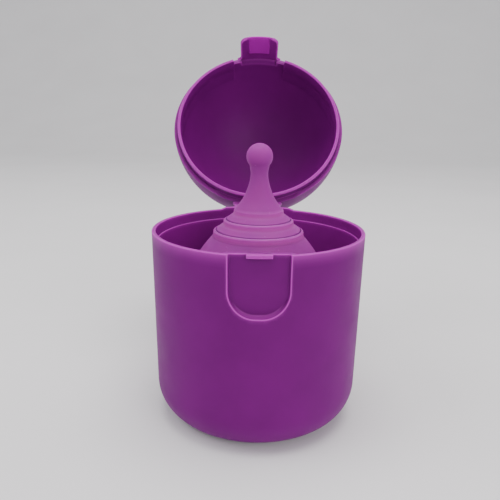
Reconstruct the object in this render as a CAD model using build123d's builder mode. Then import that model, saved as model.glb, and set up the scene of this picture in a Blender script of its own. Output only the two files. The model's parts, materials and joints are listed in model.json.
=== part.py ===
from build123d import *

import os
from math import cos, radians, sin

# Storage case with a hinged lid, and the ringed silicone cup that stands in it.
# Frame: +Z up, latch towards -Y, hinge towards +Y, origin at the middle of the case's flat foot.
# Lengths are in millimetres and angles in degrees. The lid is modelled in its open position.

# Case body
RIM_RADIUS = 30.0  # outside of the case and of the lid where they meet
RIM_HEIGHT = 55.2
FOOT_RADIUS = 29.07  # where the drafted side would meet the ground without its round
FOOT_ROUND = 10.7
WALL = 1.6
FLOOR = 2.0
LIP = 1.1  # wall above the ledge that the lid's spigot drops past
LEDGE_DEPTH = 3.0

# Thumb recess in the front of the case, with the catch nub at its top
RECESS_WIDTH = 15.3
RECESS_HEIGHT = 16.1
RECESS_ROUND = 6.8
RECESS_FLOOR = 27.95  # the recess has a flat floor, this far in front of the case's axis
RECESS_WALL = 1.3
NUB_WIDTH = 6.3
NUB_HEIGHT = 1.0
NUB_FRONT = 29.3  # radius of the nub's front
NUB_CHAMFER = 0.25

# Hinge: a raised land on the rim, a thin web, and the line that the web bends about
LAND_WIDTH = 24.6
LAND_HEIGHT = 0.55
WEB_WIDTH = 15.4
WEB_THICKNESS = 0.8
HINGE_Y = 31.5
HINGE_Z = 55.0
OPEN_ANGLE = 124.4

# Lid
SEAT_GAP = 0.2
SKIRT = 2.0  # straight wall below the dome, which is a hemisphere of the rim's radius
SPIGOT_RADIUS = 28.6
SPIGOT_WALL = 1.3
SPIGOT_DEPTH = 2.8
SPIGOT_GAP = 18.4  # width of the break in the spigot behind the latch
RELIEF_HEIGHT = 0.55  # clears the hinge land when the lid is shut
PAD_HEIGHT = 2.6
CONE_TOP = 6.0  # angle up the dome where the cone above the spigot meets it

# Latch tab
TAB_WIDTH = 13.7
TAB_LENGTH = 10.8
TAB_ROUND = 2.4
TAB_INNER = 29.45
TAB_OUTER = 30.65
SCOOP_HEIGHT = 2.2  # the tab's inner face runs on this far up inside the lid's wall
WEDGE_WIDTH = 7.5
WEDGE_TOP = 3.4  # the catch's crest, below the lid's seat
WEDGE_RISE = 0.5
TIP_THICKNESS = 0.48  # left at the tab's tip, where the catch's ramp runs out

# Silicone cup, standing on its mouth with the stem up
CUP_BASE = 2.9  # the mouth stands on the round inside the case, just outside its flat floor
CUP_MOUTH = 21.5
CUP_WALL = 1.9
BALL_RADIUS = 3.66
BALL_HEIGHT = 75.3
BALL_JOIN = 130.0  # angle from the ball's top to where the neck leaves it
NECK_RADIUS = 2.47
NECK_HEIGHT = 71.2
STEM_RADIUS = 3.35  # where the stem starts to flare towards the first ring
STEM_HEIGHT = 66.2
FLARE_RADIUS = 4.65  # half way down the flare
FLARE_HEIGHT = 63.4
STEP_RADIUS = 7.0  # first grip ring; each next ring is one STEP_OUT wider and one STEP_DOWN lower
STEP_OUT = 2.9
STEP_HEIGHT = 60.8
STEP_DOWN = 3.0
STEP_SIDE = 1.45
STEP_BEVEL = 0.5  # height of the bevel round each ring's upper edge
STEP_LIP = 0.7  # how far in from a ring's edge the slope above it lands
STEP_RISE = 0.2
STEPS = 3
BELL_SHOULDER = (16.6, 48.3)  # radius and height of points down the bell's outside
BELL_WAIST = (20.7, 38.0)
BELL_SIDE = 20.0  # the bell is straight below this height
HOLLOW_TOP = 53.6
HOLLOW_CROWN = (7.0, 50.5)  # and down its inside
HOLLOW_SHOULDER = (15.0, 44.0)
HOLLOW_WAIST = (18.8, 34.0)
AIR_HOLE_RADIUS = 0.6
AIR_HOLE_HEIGHT = 12.0

MARGIN = 5.0  # how far a cutting tool runs past what it cuts


def side_radius(height):
    """Outside radius of the drafted case wall at a height above the ground."""
    return FOOT_RADIUS + (RIM_RADIUS - FOOT_RADIUS) * height / RIM_HEIGHT


def opened(y, z):
    """Where a point of the shut lid goes when the lid is opened about the hinge line."""
    turn = radians(OPEN_ANGLE)
    dy, dz = y - HINGE_Y, z - HINGE_Z
    return HINGE_Y + dy * cos(turn) + dz * sin(turn), HINGE_Z - dy * sin(turn) + dz * cos(turn)


# The lid's own planes: its seat, with z along the dome's axis, and the upright plane through that axis.
seat_y, seat_z = opened(0, RIM_HEIGHT + SEAT_GAP)
dome_axis = (0, sin(radians(OPEN_ANGLE)), cos(radians(OPEN_ANGLE)))
LID_SEAT = Plane(origin=(0, seat_y, seat_z), x_dir=(1, 0, 0), z_dir=dome_axis)
LID_FRONT = Plane(origin=LID_SEAT.origin, x_dir=(1, 0, 0), z_dir=-LID_SEAT.y_dir)
LID_SIDE = Plane(origin=LID_SEAT.origin, x_dir=LID_SEAT.y_dir, z_dir=(1, 0, 0))
LID_AXIS = Axis(LID_SEAT.origin, LID_SEAT.z_dir)


def vessel(inset, floor, top, corner):
    """Solid that follows the case's side, set in by inset, with a rounded bottom corner."""
    with BuildPart() as solid:
        with BuildSketch(Plane.XZ) as profile:
            with BuildLine():
                Polyline(
                    (0, floor),
                    (side_radius(floor) - inset, floor),
                    (side_radius(top) - inset, top),
                    (0, top),
                    close=True,
                )
            make_face()
            fillet(profile.vertices().sort_by(Axis.Y)[:2].sort_by(Axis.X)[-1], corner)
        revolve(axis=Axis.Z)
    return solid.part


def recess_tool(grow, floor):
    """U-shaped tool for the front of the case, wider by grow each way and reaching in to a flat floor."""
    with BuildPart() as tool:
        with BuildSketch(Plane.XZ.offset(floor)) as outline:
            with Locations((0, RIM_HEIGHT + MARGIN)):
                Rectangle(RECESS_WIDTH + 2 * grow, 2 * (RECESS_HEIGHT + grow + MARGIN))
            fillet(outline.vertices().sort_by(Axis.Y)[:2], RECESS_ROUND + grow)
        extrude(amount=RIM_RADIUS + MARGIN - floor)
    return tool.part


def case_hollow():
    """Space inside the case, less the wall that backs the thumb recess."""
    with BuildPart() as hollow:
        add(vessel(WALL, FLOOR, RIM_HEIGHT + MARGIN, FOOT_ROUND - WALL))
        with BuildSketch(Plane.XY.offset(RIM_HEIGHT - LEDGE_DEPTH)):
            Circle(RIM_RADIUS - LIP)
        extrude(amount=LEDGE_DEPTH + MARGIN)
        add(recess_tool(RECESS_WALL, RECESS_FLOOR - RECESS_WALL), mode=Mode.SUBTRACT)
    return hollow.part


with BuildPart() as case_base:
    add(vessel(0, 0, RIM_HEIGHT, FOOT_ROUND))
    # Raised land at the back of the rim, for the hinge
    with BuildSketch(Plane.XY.offset(RIM_HEIGHT - LEDGE_DEPTH)):
        Circle(RIM_RADIUS)
        with Locations((0, RIM_RADIUS)):
            Rectangle(LAND_WIDTH, RIM_RADIUS, mode=Mode.INTERSECT)
    extrude(amount=LEDGE_DEPTH + LAND_HEIGHT)
    add(recess_tool(0, RECESS_FLOOR), mode=Mode.SUBTRACT)
    add(case_hollow(), mode=Mode.SUBTRACT)
    # Catch nub, level with the rim
    with BuildSketch(Plane.XY.offset(RIM_HEIGHT - NUB_HEIGHT)):
        Circle(NUB_FRONT)
        with Locations((0, -RECESS_FLOOR + RECESS_WALL / 2 - RIM_RADIUS / 2)):
            Rectangle(NUB_WIDTH, RIM_RADIUS, mode=Mode.INTERSECT)
    extrude(amount=NUB_HEIGHT)
    chamfer(case_base.edges(Select.LAST).sort_by(Axis.Y)[:4].sort_by(Axis.Z)[0], NUB_CHAMFER)


def lid_ring(inner, outer, low, high):
    """Ring about the dome's axis, between two radii and two heights above the lid's seat."""
    with BuildPart() as ring:
        with BuildSketch(LID_SEAT.offset(low)):
            Circle(outer)
            Circle(inner, mode=Mode.SUBTRACT)
        extrude(amount=high - low)
    return ring.part


def dome(radius, low):
    """Hemisphere on a straight skirt that starts at low, measured from the lid's seat."""
    with BuildPart() as solid:
        with BuildSketch(LID_FRONT):
            with BuildLine():
                Line((0, SKIRT + radius), (0, low))
                Line((0, low), (radius, low))
                Line((radius, low), (radius, SKIRT))
                CenterArc((0, SKIRT), radius, 0, 90)
            make_face()
        revolve(axis=LID_AXIS)
    return solid.part


def lid_hollow():
    """Space inside the lid: straight through the spigot, then a short cone out to the dome."""
    straight = SPIGOT_RADIUS - SPIGOT_WALL
    radius = RIM_RADIUS - WALL
    with BuildPart() as hollow:
        with BuildSketch(LID_FRONT):
            with BuildLine():
                inner_dome = CenterArc((0, SKIRT), radius, CONE_TOP, 90 - CONE_TOP)
                Polyline(
                    inner_dome @ 1,
                    (0, -SPIGOT_DEPTH - MARGIN),
                    (straight, -SPIGOT_DEPTH - MARGIN),
                    (straight, SKIRT),
                    inner_dome @ 0,
                )
            make_face()
        revolve(axis=LID_AXIS)
    return hollow.part


def spigot_break():
    """Gap in the spigot at the front, which leaves the bare wall and dome behind the latch tab."""
    with BuildPart() as gap:
        add(dome(RIM_RADIUS - WALL, -SPIGOT_DEPTH - MARGIN))
        with BuildSketch(LID_SEAT):
            with Locations((0, -RIM_RADIUS)):
                Rectangle(SPIGOT_GAP, RIM_RADIUS)
        extrude(amount=SKIRT + RIM_RADIUS / 4, mode=Mode.INTERSECT)
        with BuildSketch(LID_SEAT.offset(-SPIGOT_DEPTH - MARGIN)):
            with Locations((0, -RIM_RADIUS)):
                Rectangle(SPIGOT_GAP, RIM_RADIUS)
        extrude(amount=SPIGOT_DEPTH + MARGIN)
    return gap.part


def tab_scoop():
    """Shallow scoop inside the wall above the tab, from the tab's inner face back to the wall's."""
    with BuildPart() as scoop:
        with BuildSketch(LID_FRONT):
            inward = RIM_RADIUS - 2 * WALL
            Polygon((inward, 0), (TAB_INNER, 0), (inward, 2 * SCOOP_HEIGHT), align=None)
        revolve(axis=LID_AXIS)
        with BuildSketch(LID_SEAT):
            with Locations((0, -RIM_RADIUS)):
                Rectangle(TAB_WIDTH, RIM_RADIUS)
        extrude(amount=3 * SCOOP_HEIGHT, mode=Mode.INTERSECT)
    return scoop.part


with BuildPart() as lid:
    add(dome(RIM_RADIUS, 0))
    add(lid_ring(SPIGOT_RADIUS - SPIGOT_WALL, SPIGOT_RADIUS, -SPIGOT_DEPTH, SKIRT))
    # Thicker pad on the skirt that the latch tab hangs from
    with BuildSketch(LID_SEAT):
        Circle(TAB_OUTER)
        with Locations((0, -RIM_RADIUS)):
            Rectangle(TAB_WIDTH, RIM_RADIUS, mode=Mode.INTERSECT)
    extrude(amount=PAD_HEIGHT)
    add(lid_hollow(), mode=Mode.SUBTRACT)
    add(spigot_break(), mode=Mode.SUBTRACT)
    add(tab_scoop(), mode=Mode.SUBTRACT)
    # Relief over the hinge land
    with BuildSketch(LID_SEAT):
        Circle(RIM_RADIUS + MARGIN)
        Circle(SPIGOT_RADIUS, mode=Mode.SUBTRACT)
        with Locations((0, RIM_RADIUS)):
            Rectangle(LAND_WIDTH + 2 * SEAT_GAP, RIM_RADIUS, mode=Mode.INTERSECT)
    extrude(amount=RELIEF_HEIGHT, mode=Mode.SUBTRACT)

with BuildPart() as latch_tab:
    with BuildSketch(LID_FRONT) as tab_outline:
        with Locations((0, 0)):
            Rectangle(TAB_WIDTH, 2 * TAB_LENGTH)
        fillet(tab_outline.vertices().sort_by(Axis.Y)[:2], TAB_ROUND)
    extrude(amount=RIM_RADIUS + MARGIN)
    add(lid_ring(TAB_INNER, TAB_OUTER, -TAB_LENGTH, 0), mode=Mode.INTERSECT)
    # Catch on the inner face: its crest is towards the lid, and its ramp runs out into the tab's tip
    crest = (-TAB_INNER + WEDGE_RISE, -WEDGE_TOP)
    tip = (-TAB_OUTER + TIP_THICKNESS, -TAB_LENGTH)
    with BuildSketch(LID_SIDE):
        Polygon(crest, tip, (-TAB_OUTER + TIP_THICKNESS, -WEDGE_TOP), align=None)
    extrude(amount=WEDGE_WIDTH / 2, both=True)
    with BuildSketch(LID_SIDE):
        inward = crest[0] + MARGIN
        below = tip[1] - MARGIN
        Polygon(crest, tip, (tip[0], below), (inward, below), (inward, crest[1]), align=None)
    extrude(amount=WEDGE_WIDTH / 2, both=True, mode=Mode.SUBTRACT)

with BuildPart() as hinge_web:
    # A level strap from the land to the lid's edge, trimmed to both
    with BuildSketch(Plane.YZ):
        with BuildLine():
            Polyline(
                (HINGE_Y - MARGIN, RIM_HEIGHT - WEB_THICKNESS),
                (HINGE_Y + MARGIN, RIM_HEIGHT + LAND_HEIGHT - WEB_THICKNESS / 2),
                (HINGE_Y + MARGIN, RIM_HEIGHT + LAND_HEIGHT + WEB_THICKNESS),
                (HINGE_Y - MARGIN, RIM_HEIGHT + LAND_HEIGHT / 2),
                close=True,
            )
        make_face()
    extrude(amount=WEB_WIDTH / 2, both=True)
    with BuildSketch(Plane.XY.offset(RIM_HEIGHT - MARGIN)):
        Circle(RIM_RADIUS)
    extrude(amount=2 * MARGIN, mode=Mode.SUBTRACT)
    add(dome(RIM_RADIUS + SEAT_GAP / 2, -SEAT_GAP), mode=Mode.SUBTRACT)


def cup_outline():
    """Outer half-profile of the cup from the stem's top down to the mouth, as one closed face."""
    with BuildLine() as outline:
        neck = Spline(
            (BALL_RADIUS * sin(radians(BALL_JOIN)), BALL_HEIGHT + BALL_RADIUS * cos(radians(BALL_JOIN))),
            (NECK_RADIUS, NECK_HEIGHT),
            (STEM_RADIUS, STEM_HEIGHT),
            (FLARE_RADIUS, FLARE_HEIGHT),
            (STEP_RADIUS - STEP_LIP, STEP_HEIGHT + STEP_RISE),
        )
        top = neck @ 1
        ThreePointArc((0, BALL_HEIGHT + BALL_RADIUS), (BALL_RADIUS, BALL_HEIGHT), neck @ 0)
        for step in range(STEPS):
            radius = STEP_RADIUS + STEP_OUT * step
            height = STEP_HEIGHT - STEP_DOWN * step
            corner = (radius, height - STEP_BEVEL)
            foot = (radius, height - STEP_SIDE)
            Line(top, corner)
            Line(corner, foot)
            top = (radius + STEP_OUT - STEP_LIP, height - STEP_DOWN + STEP_RISE)
            if step < STEPS - 1:
                Line(foot, top)
        side = Spline(
            foot,
            BELL_SHOULDER,
            BELL_WAIST,
            (CUP_MOUTH, BELL_SIDE),
            (CUP_MOUTH, CUP_BASE),
        )
        Line(side @ 1, (0, CUP_BASE))
        Line((0, CUP_BASE), (0, BALL_HEIGHT + BALL_RADIUS))
    return outline.line


with BuildPart() as silicone_cup:
    with BuildSketch(Plane.XZ):
        add(cup_outline())
        make_face()
    revolve(axis=Axis.Z)
    # Hollow of the bell
    with BuildSketch(Plane.XZ):
        with BuildLine():
            roof = (0, HOLLOW_TOP)
            hollow_side = Spline(
                roof,
                HOLLOW_CROWN,
                HOLLOW_SHOULDER,
                HOLLOW_WAIST,
                (CUP_MOUTH - CUP_WALL, BELL_SIDE),
                (CUP_MOUTH - CUP_WALL, CUP_BASE - MARGIN),
                tangents=[(1, 0), (0, -1)],
            )
            Line(hollow_side @ 1, (0, CUP_BASE - MARGIN))
            Line((0, CUP_BASE - MARGIN), roof)
        make_face()
    revolve(axis=Axis.Z, mode=Mode.SUBTRACT)
    # Air holes under the mouth's band
    with BuildSketch(Plane.XZ):
        with Locations((0, AIR_HOLE_HEIGHT)):
            Circle(AIR_HOLE_RADIUS)
    extrude(amount=CUP_MOUTH + MARGIN, both=True, mode=Mode.SUBTRACT)
    with BuildSketch(Plane.YZ):
        with Locations((0, AIR_HOLE_HEIGHT)):
            Circle(AIR_HOLE_RADIUS)
    extrude(amount=CUP_MOUTH + MARGIN, both=True, mode=Mode.SUBTRACT)

os.makedirs("parts", exist_ok=True)
for name, piece in (
    ("case_base", case_base),
    ("hinge_web", hinge_web),
    ("lid", lid),
    ("latch_tab", latch_tab),
    ("silicone_cup", silicone_cup),
):
    piece.part.label = name
    export_step(piece.part, f"parts/{name}.step")
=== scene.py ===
import json
from math import asin, ceil, cos, hypot, pi, radians, sin, tan

import bmesh
import bpy
import numpy as np
from mathutils import Matrix, Vector
from mathutils.geometry import delaunay_2d_cdt


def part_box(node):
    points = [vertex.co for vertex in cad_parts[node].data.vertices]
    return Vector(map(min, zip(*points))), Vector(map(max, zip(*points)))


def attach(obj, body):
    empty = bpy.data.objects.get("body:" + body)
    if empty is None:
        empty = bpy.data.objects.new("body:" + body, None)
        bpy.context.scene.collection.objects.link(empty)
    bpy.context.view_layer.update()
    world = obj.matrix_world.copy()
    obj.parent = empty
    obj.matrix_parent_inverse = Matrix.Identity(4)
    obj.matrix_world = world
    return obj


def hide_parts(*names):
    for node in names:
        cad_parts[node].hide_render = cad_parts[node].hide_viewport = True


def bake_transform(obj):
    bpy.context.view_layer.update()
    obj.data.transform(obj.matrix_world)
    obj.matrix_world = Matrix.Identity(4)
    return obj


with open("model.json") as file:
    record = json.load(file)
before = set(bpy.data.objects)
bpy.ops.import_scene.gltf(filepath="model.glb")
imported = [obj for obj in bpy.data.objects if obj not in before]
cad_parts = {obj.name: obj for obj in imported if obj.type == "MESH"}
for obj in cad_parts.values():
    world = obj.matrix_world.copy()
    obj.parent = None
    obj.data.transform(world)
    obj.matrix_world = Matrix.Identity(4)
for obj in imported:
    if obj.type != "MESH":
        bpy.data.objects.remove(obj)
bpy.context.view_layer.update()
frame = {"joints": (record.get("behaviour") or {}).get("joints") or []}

# Ringed silicone cup in its flip-lid case. Meshes are worked out in millimetres and written in metres.
# Angles about the case's axis are counted from the front, so 0 faces the latch and pi faces the hinge.
# Round a wall, "along" is the arc length from the front at the rim's radius.

MM = 0.001


# ---- Driving dimensions, read from the frame where it holds them ----

def node_box(node):
    """Lowest and highest corner of a CAD node, in millimetres."""
    low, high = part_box(node)
    return np.array(low) / MM, np.array(high) / MM


_, case_high = node_box("case_base")
cup_low, cup_high = node_box("silicone_cup")
tab_low, tab_high = node_box("latch_tab")
web_low, web_high = node_box("hinge_web")
HINGE = next(j for j in frame["joints"] if j["name"] == "lid_hinge")

# Case
RIM_RADIUS = case_high[0]
LAND_HEIGHT = 0.55
RIM_HEIGHT = case_high[2] - LAND_HEIGHT
FOOT_RADIUS = 29.07
FOOT_ROUND = 10.7
WALL = 1.6
FLOOR = 2.0
LIP = 1.1
LEDGE_DEPTH = 3.0
LAND_HALF = 24.6 / 2

# Thumb recess and the nub that the latch catches on
RECESS_HALF = 15.3 / 2
RECESS_HEIGHT = 16.1
RECESS_ROUND = 6.8
RECESS_SLOPE = 0.4  # how much more the lower side slopes than the others
RECESS_FLOOR = 27.95
RECESS_WALL = 1.3
NUB_HALF = 6.3 / 2
NUB_HEIGHT = 1.0
NUB_FRONT = 29.3

# Hinge
HINGE_Y = HINGE["pos_m"][1] / MM
HINGE_Z = HINGE["pos_m"][2] / MM
OPEN_ANGLE = radians(HINGE["range_deg"][1])
SEAT_GAP = 0.2

# Lid and the spigot that plugs the case's mouth
SKIRT = 2.0
SPIGOT_RADIUS = 28.6
SPIGOT_INNER = 27.3
SPIGOT_DEPTH = 2.8
SPIGOT_GAP_HALF = 9.2
RELIEF_HEIGHT = 0.55
RELIEF_FADE = 3.0
SCOOP_HEIGHT = 2.2

# Latch tab, its pad on the lid, and the wedge-shaped catch on its inner face
PAD_HEIGHT = 2.6
TAB_HALF = (tab_high[0] - tab_low[0]) / 2
TAB_LENGTH = 10.8
TAB_ROUND = 2.4
TAB_ROOT = 1.1  # height over which the tab flares into the lid's edge
PAD_ROUND = 1.1
TAB_INNER = 29.45
TAB_OUTER = 30.65
WEDGE_HALF = 7.5 / 2
WEDGE_TOP = 3.4
WEDGE_RISE = 0.5
TIP_THICKNESS = 0.48

# Silicone cup
CUP_BASE = cup_low[2]
CUP_TOP = cup_high[2]
BALL_RADIUS = 3.66
BALL_JOIN = 130  # degrees round the ball at which the stem takes over
NECK = (2.47, 71.2)
STEM = (3.35, 66.2)
FLARE = (4.65, 63.4)
STEP_RADIUS = 7.0
STEP_OUT = 2.9
STEP_HEIGHT = 60.8
STEP_DOWN = 3.0
STEP_SIDE = 1.45
STEPS = 3
CREASE_IN = 0.78  # from a ring's edge in to the crease above it
BELL_SHOULDER = (16.6, 48.3)
BELL_WAIST = (20.7, 38)
BELL_SIDE = 20
CUP_MOUTH = 21.5
CUP_WALL = 1.9
HOLLOW = [(18.8, 34), (15.0, 44), (7.0, 50.5), (2.5, 53.2), (0, 53.6)]  # up the inside of the bell
AIR_HOLE_RADIUS = 0.6
AIR_HOLE_HEIGHT = 12.0

EDGE = 0.32  # usual round on a moulded edge
COLUMNS = 240  # columns round a full turn, before the extra ones at details
WELD = 0.0004  # points closer than this are one point
TINY = 1e-6


# ---- Small mesh tools ----

def smooth(t):
    """Smooth step from 0 to 1 as t goes from 0 to 1."""
    t = np.clip(t, 0, 1)
    return t * t * (3 - 2 * t)


def rounded_path(corners, step, arc_steps=5):
    """Points along a path of straight runs whose corners (r, z, round) are rounded by arcs."""
    points = []
    last = len(corners) - 1
    for i, (r, z, radius) in enumerate(corners):
        here = np.array((r, z))
        if i in (0, last) or radius <= 0:
            arc = [here]
        else:
            before = np.array(corners[i - 1][:2]) - here
            after = np.array(corners[i + 1][:2]) - here
            before, after = before / hypot(*before), after / hypot(*after)
            half = np.arccos(np.clip(before @ after, -1, 1)) / 2
            centre = here + (before + after) / hypot(*(before + after)) * radius / sin(half)
            start = here + before * radius / tan(half) - centre
            turn = pi - 2 * half
            side = np.sign(np.cross(before, after))
            count = max(arc_steps, ceil(turn * radius / step))
            arc = []
            for a in np.linspace(0, -side * turn, count + 1):
                turned = (start[0] * cos(a) - start[1] * sin(a), start[0] * sin(a) + start[1] * cos(a))
                arc.append(centre + turned)
        if points:
            run = arc[0] - points[-1]
            pieces = max(1, ceil(hypot(*run) / step))
            points += [points[-1] + run * k / pieces for k in range(1, pieces)]
        points += arc
    return np.array(points)


def columns(extra=()):
    """Column positions along the wall: evenly spaced, with extra ones at details and none crowding them."""
    spacing = 2 * pi * RIM_RADIUS / COLUMNS
    even = (np.arange(COLUMNS) - COLUMNS // 2) * spacing
    extra = np.unique(np.round(np.array(extra, float), 6))
    if len(extra):
        gap = np.abs(even[:, None] - extra[None, :]).min(axis=1)
        even = even[gap > 0.45 * min(spacing, 0.5)]
    return np.unique(np.concatenate([even, extra]))


def on_wall(along, r, z):
    """Points on the wall, from the arc length along it, the radius and the height."""
    a = along / RIM_RADIUS
    return np.stack([r * np.sin(a), -r * np.cos(a), z + 0 * r], axis=-1)


class Surface:
    """Collects faces as groups of points, and welds points that coincide."""

    def __init__(self):
        self.points = []
        self.faces = []

    def add(self, points, faces):
        start = sum(len(p) for p in self.points)
        self.points.append(np.asarray(points, float).reshape(-1, 3))
        self.faces += [[start + i for i in face] for face in faces]

    def grid(self, points, closed=False, keep=None):
        """Quads over points[row, column]; closed joins the last column to the first."""
        rows, cols = points.shape[:2]
        faces = []
        for i in range(rows - 1):
            for j in range(cols if closed else cols - 1):
                if keep is None or keep(i, j):
                    k = (j + 1) % cols
                    faces.append((i * cols + j, i * cols + k, (i + 1) * cols + k, (i + 1) * cols + j))
        self.add(points, faces)

    def build(self, name, matrix=None):
        """Makes the object, smooth-shaded, and moved by the matrix if there is one."""
        mesh = bpy.data.meshes.new(name)
        mesh.from_pydata((np.concatenate(self.points) * MM).tolist(), [], self.faces)
        weld(mesh)
        if matrix is not None:
            mesh.transform(matrix)
        mesh.polygons.foreach_set("use_smooth", [True] * len(mesh.polygons))
        obj = bpy.data.objects.new(name, mesh)
        bpy.context.scene.collection.objects.link(obj)
        return obj


def weld(mesh):
    """Joins points that coincide, and drops faces that this leaves empty or folded onto each other."""
    work = bmesh.new()
    work.from_mesh(mesh)
    bmesh.ops.remove_doubles(work, verts=work.verts, dist=WELD * MM)
    bmesh.ops.dissolve_degenerate(work, dist=WELD * MM, edges=work.edges)
    work.verts.index_update()
    same_corners = {}
    for face in work.faces:
        same_corners.setdefault(frozenset(vert.index for vert in face.verts), []).append(face)
    folded = [face for faces in same_corners.values() if len(faces) == 2 for face in faces]
    bmesh.ops.delete(work, geom=folded, context="FACES_ONLY")
    bmesh.ops.delete(work, geom=[v for v in work.verts if not v.link_faces], context="VERTS")
    bmesh.ops.recalc_face_normals(work, faces=work.faces)
    work.to_mesh(mesh)
    work.free()


def paint(obj, name, values):
    """Stores one number per vertex for a material to read."""
    layer = obj.data.attributes.new(name, "FLOAT", "POINT")
    layer.data.foreach_set("value", np.clip(values, 0, 1).astype(np.float32))


def vertices_mm(obj):
    """Vertex positions of an object, in millimetres."""
    flat = np.empty(len(obj.data.vertices) * 3)
    obj.data.vertices.foreach_get("co", flat)
    return flat.reshape(-1, 3) / MM


def curve(knots, step):
    """Points along a smooth curve through the knots, which are (r, z) pairs."""
    knots = np.array(knots, float)
    ends = np.concatenate([[2 * knots[0] - knots[1]], knots, [2 * knots[-1] - knots[-2]]])
    points = [knots[:1]]
    for i in range(len(knots) - 1):
        before, start, end, after = ends[i : i + 4]
        length = hypot(*(end - start))
        first, last = hypot(*(start - before)), hypot(*(after - end))
        leave = (end - start) / length + (start - before) / first - (end - before) / (length + first)
        arrive = (after - end) / last + (end - start) / length - (after - start) / (last + length)
        t = np.linspace(0, 1, max(2, ceil(length / step)) + 1)[1:, None]
        points.append(
            (2 * t**3 - 3 * t**2 + 1) * start
            + (t**3 - 2 * t**2 + t) * leave * length
            + (3 * t**2 - 2 * t**3) * end
            + (t**3 - t**2) * arrive * length
        )
    return np.concatenate(points)


def fill(outlines, inner, keep):
    """Triangles over a flat area that follow the outlines; inner points refine them, and keep picks faces."""
    points, edges = [], []
    for outline in outlines:
        edges += [(len(points) + k, len(points) + k + 1) for k in range(len(outline) - 1)]
        points += [tuple(p) for p in outline]
    points += [tuple(p) for p in inner]
    flat, _, faces, *_ = delaunay_2d_cdt([Vector(p) for p in points], edges, [], 0, 1e-7)
    flat = np.array([tuple(p) for p in flat])
    return flat, [tuple(f) for f in faces if keep(*flat[list(f)].mean(axis=0))]


def within(outline, x, z):
    """Whether a flat point lies inside a closed outline."""
    ax, az = outline[:, 0], outline[:, 1]
    bx, bz = np.roll(ax, -1), np.roll(az, -1)
    spans = (az > z) != (bz > z)
    crossing = ax[spans] + (z - az[spans]) / (bz[spans] - az[spans]) * (bx[spans] - ax[spans])
    return np.count_nonzero(crossing > x) % 2 == 1


def border_of(cols, heights):
    """Closed run of grid points round a window of columns and heights."""
    border = [(c, heights[0]) for c in cols] + [(cols[-1], h) for h in heights[1:]]
    return border + [(c, heights[-1]) for c in cols[-2::-1]] + [(cols[0], h) for h in heights[-2::-1]]


def off_line(outline, x, z):
    """How far a flat point is from the points of an outline."""
    return np.hypot(outline[:, 0] - x, outline[:, 1] - z).min()


# ---- Case base ----

def side_radius(z):
    """Outside radius of the drafted case wall."""
    return FOOT_RADIUS + (RIM_RADIUS - FOOT_RADIUS) * z / RIM_HEIGHT


RECESS_ALONG = RIM_RADIUS * asin(RECESS_HALF / RIM_RADIUS)
RECESS_FOOT = RIM_HEIGHT - RECESS_HEIGHT


def recess_distance(along, z, grow=0.0):
    """Distance outside the recess's U-shaped outline, negative inside; the U is open at the top."""
    radius = RECESS_ROUND + grow
    across = np.abs(along) - (RECESS_ALONG + grow - radius)
    down = (RECESS_FOOT - grow + radius) - z
    outside = np.hypot(np.maximum(across, 0), np.maximum(down, 0))
    return np.minimum(np.maximum(across, down), 0) + outside - radius


def recess_section():
    """The recess's side in section, as (distance outside the outline, share of the depth)."""
    lip_round, foot_round, lean, share = 0.34, 0.4, 0.1, 0.26
    bend = np.radians(np.linspace(0, 84, 7))
    top = np.stack([lip_round * (1 - np.sin(bend)), share * (1 - np.cos(bend))], axis=1)
    back = bend[::-1]
    low = np.stack([-lean - foot_round * (1 - np.sin(back)), 1 - share * (1 - np.cos(back))], axis=1)
    return np.concatenate([top, low])


SECTION = recess_section()
# Mesh loops round the recess, carried on across its sloping lower side
RECESS_LOOPS = np.concatenate([SECTION[:, 0], np.arange(-0.62, -1.0, -0.12)])


def recessed(along, z):
    """Outer radius of the case's wall, with the flat-floored recess taken out of it."""
    distance = recess_distance(along, z)
    slope = 1 + RECESS_SLOPE * smooth((RECESS_FOOT + RECESS_ROUND - z) / RECESS_ROUND)
    share = np.interp(-np.where(distance < 0, distance / slope, distance), -SECTION[:, 0], SECTION[:, 1])
    wall = side_radius(np.minimum(z, RIM_HEIGHT))
    return wall - share * (wall - RECESS_FLOOR / np.cos(along / RIM_RADIUS))


def recess_outline(grow, top, rows_above):
    """Points along the U at a distance outside it, from its top left round to its top right."""
    half = RECESS_ALONG + grow
    radius = RECESS_ROUND + grow
    turn = RECESS_FOOT + RECESS_ROUND
    sides = np.concatenate([[top], rows_above[(rows_above < top - 0.05) & (rows_above > turn + 0.2)][::-1]])
    bend = np.radians(np.linspace(0, 90, 19))
    flat = np.linspace(-(half - radius), half - radius, 7)[1:-1]
    left = [(-half, z) for z in sides]
    corner = [(-(half - radius) - radius * cos(a), turn - radius * sin(a)) for a in bend]
    floor = [(x, turn - radius) for x in flat]
    mirror = [(-x, z) for x, z in (left + corner)[::-1]]
    return np.array(left + corner + floor + mirror)


def backing(along, r, z):
    """How far the inner wall stands in behind the recess."""
    fade = 0.8
    inside = smooth(-recess_distance(along, z, RECESS_WALL) / fade + 0.5)
    return inside * np.maximum(0, r - (RECESS_FLOOR - RECESS_WALL) / np.cos(along / RIM_RADIUS))


def hinge_land(along):
    """1 over the raised land at the back of the rim, 0 elsewhere."""
    from_back = pi * RIM_RADIUS - np.abs(along)
    beyond, fade = 0.2, 1.4
    return smooth((LAND_HALF + beyond - from_back) / fade)


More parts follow.
